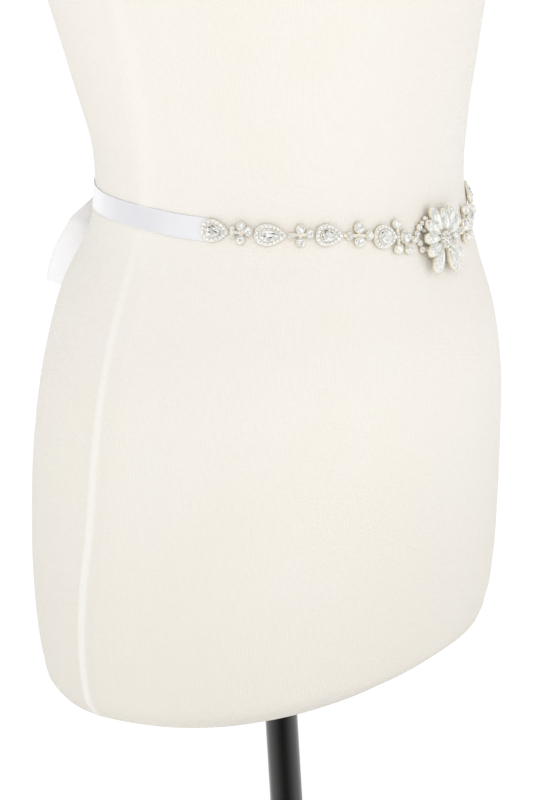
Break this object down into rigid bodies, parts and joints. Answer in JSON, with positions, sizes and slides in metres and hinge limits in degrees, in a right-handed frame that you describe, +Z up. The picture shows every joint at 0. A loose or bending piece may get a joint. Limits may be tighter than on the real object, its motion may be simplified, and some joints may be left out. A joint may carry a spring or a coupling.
{
  "type": "sash belt on a dress form",
  "caption": "Satin ribbon sash belt with a rhinestone flower applique, tied in a bow round a limbless dress form on a round stand.",
  "frame": {"origin": "middle of the stand's underside, on the pole's axis", "axes": "+Z up along the pole, -Y out of the form's front, +X to the wearer's left"},
  "size_m": [0.3488, 0.2901, 0.938],
  "materials": {
    "form_jersey": "cream knitted cotton jersey, matt",
    "ribbon_satin": "white satin ribbon",
    "crystal": "clear foil-backed cut glass",
    "silver_setting": "bright silver plate",
    "stand_black": "gloss black"
  },
  "bodies": {
    "root": {"form_torso": "form_jersey", "stand_base": "stand_black", "stand_collar": "stand_black", "stand_pole": "stand_black", "ribbon_right": "ribbon_satin", "ribbon_left": "ribbon_satin", "bow_knot": "ribbon_satin", "bow_loop_right": "ribbon_satin", "bow_loop_left": "ribbon_satin", "bow_tail_right": "ribbon_satin", "bow_tail_left": "ribbon_satin", "pear_outer_right": "crystal", "pear_second_right": "crystal", "pear_third_right": "crystal", "pear_inner_right": "crystal", "cluster_outer_right": "silver_setting", "cluster_second_right": "silver_setting", "cluster_third_right": "silver_setting", "cluster_inner_right": "silver_setting", "pear_outer_left": "crystal", "pear_second_left": "crystal", "pear_third_left": "crystal", "pear_inner_left": "crystal", "cluster_outer_left": "silver_setting", "cluster_second_left": "silver_setting", "cluster_third_left": "silver_setting", "cluster_inner_left": "silver_setting", "flower_centre": "silver_setting", "flower_side_stone": "silver_setting", "flower_petal_01": "crystal", "flower_petal_02": "crystal", "flower_petal_03": "crystal", "flower_petal_04": "crystal", "flower_petal_05": "crystal", "flower_petal_06": "crystal", "flower_petal_07": "crystal", "flower_petal_08": "crystal", "flower_petal_09": "crystal", "flower_petal_10": "crystal"}
  },
  "joints": []
}
